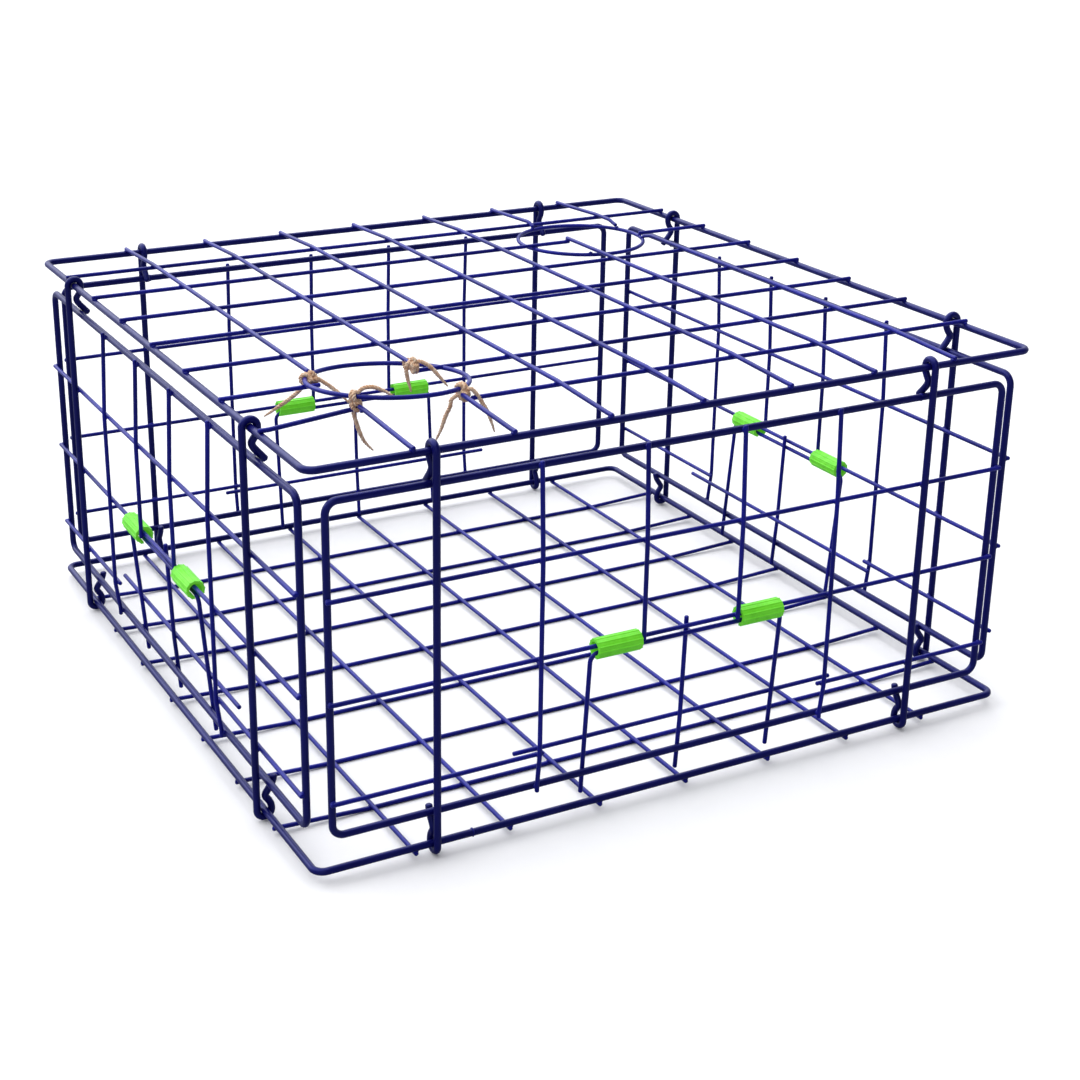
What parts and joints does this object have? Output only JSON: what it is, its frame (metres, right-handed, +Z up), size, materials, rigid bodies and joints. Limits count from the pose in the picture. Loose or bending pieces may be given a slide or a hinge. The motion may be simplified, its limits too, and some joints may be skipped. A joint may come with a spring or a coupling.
{
  "type": "folding crab trap",
  "caption": "Square folding crab trap of coated steel rod: base and lid grids joined by snap-hooked side panels with one-way swinging gates, and twine-tied escape rings in the lid.",
  "frame": {"origin": "on the floor under the middle of the trap, in the plane of the lowest base wires", "axes": "+X to the right along the front panel, +Y from the front panel to the back panel, +Z up"},
  "size_m": [0.6276, 0.6276, 0.3226],
  "materials": {
    "back_cross_wires": "gloss",
    "back_gate_bars": "gloss",
    "back_gate_clip_left": "gloss",
    "back_gate_clip_right": "gloss",
    "back_gate_frame": "gloss",
    "back_hook_rods": "gloss",
    "back_panel_loop": "gloss",
    "back_upright_wires": "gloss",
    "base_cross_wires": "gloss",
    "base_frame_rod": "gloss",
    "base_long_wires": "gloss",
    "front_cross_wires": "gloss",
    "front_gate_bars": "gloss",
    "front_gate_clip_left": "gloss",
    "front_gate_clip_right": "gloss",
    "front_gate_frame": "gloss",
    "front_hook_rods": "gloss",
    "front_panel_loop": "gloss",
    "front_upright_wires": "gloss",
    "left_cross_wires": "gloss",
    "left_gate_bars": "gloss",
    "left_gate_clip_left": "gloss",
    "left_gate_clip_right": "gloss",
    "left_gate_frame": "gloss",
    "left_hook_rods": "gloss",
    "left_panel_loop": "gloss",
    "left_upright_wires": "gloss",
    "lid_cross_wires": "gloss",
    "lid_frame_rod": "gloss",
    "lid_long_wires": "gloss",
    "lid_ring_back_right": "gloss",
    "lid_ring_front_left": "gloss",
    "right_cross_wires": "gloss",
    "right_gate_bars": "gloss",
    "right_gate_clip_left": "gloss",
    "right_gate_clip_right": "gloss",
    "right_gate_frame": "gloss",
    "right_hook_rods": "gloss",
    "right_panel_loop": "gloss",
    "right_upright_wires": "gloss",
    "twine_tie_back": "matte",
    "twine_tie_front": "matte",
    "twine_tie_left": "matte",
    "twine_tie_right": "matte"
  },
  "bodies": {
    "base": {"base_cross_wires": "base_cross_wires", "base_frame_rod": "base_frame_rod", "base_long_wires": "base_long_wires"},
    "lid": {"lid_cross_wires": "lid_cross_wires", "lid_frame_rod": "lid_frame_rod", "lid_long_wires": "lid_long_wires", "lid_ring_back_right": "lid_ring_back_right", "lid_ring_front_left": "lid_ring_front_left", "twine_tie_back": "twine_tie_back", "twine_tie_front": "twine_tie_front", "twine_tie_left": "twine_tie_left", "twine_tie_right": "twine_tie_right"},
    "front_panel": {"front_panel_loop": "front_panel_loop", "front_cross_wires": "front_cross_wires", "front_upright_wires": "front_upright_wires", "front_hook_rods": "front_hook_rods"},
    "front_gate": {"front_gate_frame": "front_gate_frame", "front_gate_bars": "front_gate_bars", "front_gate_clip_left": "front_gate_clip_left", "front_gate_clip_right": "front_gate_clip_right"},
    "right_panel": {"right_panel_loop": "right_panel_loop", "right_cross_wires": "right_cross_wires", "right_upright_wires": "right_upright_wires", "right_hook_rods": "right_hook_rods"},
    "right_gate": {"right_gate_frame": "right_gate_frame", "right_gate_bars": "right_gate_bars", "right_gate_clip_left": "right_gate_clip_left", "right_gate_clip_right": "right_gate_clip_right"},
    "back_panel": {"back_panel_loop": "back_panel_loop", "back_cross_wires": "back_cross_wires", "back_upright_wires": "back_upright_wires", "back_hook_rods": "back_hook_rods"},
    "back_gate": {"back_gate_frame": "back_gate_frame", "back_gate_bars": "back_gate_bars", "back_gate_clip_left": "back_gate_clip_left", "back_gate_clip_right": "back_gate_clip_right"},
    "left_panel": {"left_panel_loop": "left_panel_loop", "left_cross_wires": "left_cross_wires", "left_upright_wires": "left_upright_wires", "left_hook_rods": "left_hook_rods"},
    "left_gate": {"left_gate_frame": "left_gate_frame", "left_gate_bars": "left_gate_bars", "left_gate_clip_left": "left_gate_clip_left", "left_gate_clip_right": "left_gate_clip_right"}
  },
  "joints": [
    {"name": "front_panel_fold", "type": "hinge", "parent": "base", "child": "front_panel", "pos_m": [0, -0.3048, 0.00915], "axis": [1, 0, 0], "range_deg": [-81, 0]},
    {"name": "right_panel_fold", "type": "hinge", "parent": "base", "child": "right_panel", "pos_m": [0.3048, 0, 0.00915], "axis": [0, -1, 0], "range_deg": [0, 81]},
    {"name": "back_panel_fold", "type": "hinge", "parent": "base", "child": "back_panel", "pos_m": [0, 0.3048, 0.00915], "axis": [-1, 0, 0], "range_deg": [-81, 0]},
    {"name": "left_panel_fold", "type": "hinge", "parent": "base", "child": "left_panel", "pos_m": [-0.3048, 0, 0.00915], "axis": [0, 1, 0], "range_deg": [0, 81]},
    {"name": "front_gate_swing", "type": "hinge", "parent": "front_panel", "child": "front_gate", "pos_m": [0, -0.3063, 0.13695], "axis": [1, 0, 0], "range_deg": [0, 85]},
    {"name": "right_gate_swing", "type": "hinge", "parent": "right_panel", "child": "right_gate", "pos_m": [0.3063, 0, 0.13695], "axis": [0, -1, 0], "range_deg": [-85, 0]},
    {"name": "back_gate_swing", "type": "hinge", "parent": "back_panel", "child": "back_gate", "pos_m": [0, 0.3063, 0.13695], "axis": [-1, 0, 0], "range_deg": [0, 85]},
    {"name": "left_gate_swing", "type": "hinge", "parent": "left_panel", "child": "left_gate", "pos_m": [-0.3063, 0, 0.13695], "axis": [0, 1, 0], "range_deg": [-85, 0]},
    {"name": "lid_swing", "type": "hinge", "parent": "base", "child": "lid", "pos_m": [0, 0.3048, 0.30715], "axis": [-1, 0, 0], "range_deg": [0, 200]}
  ]
}
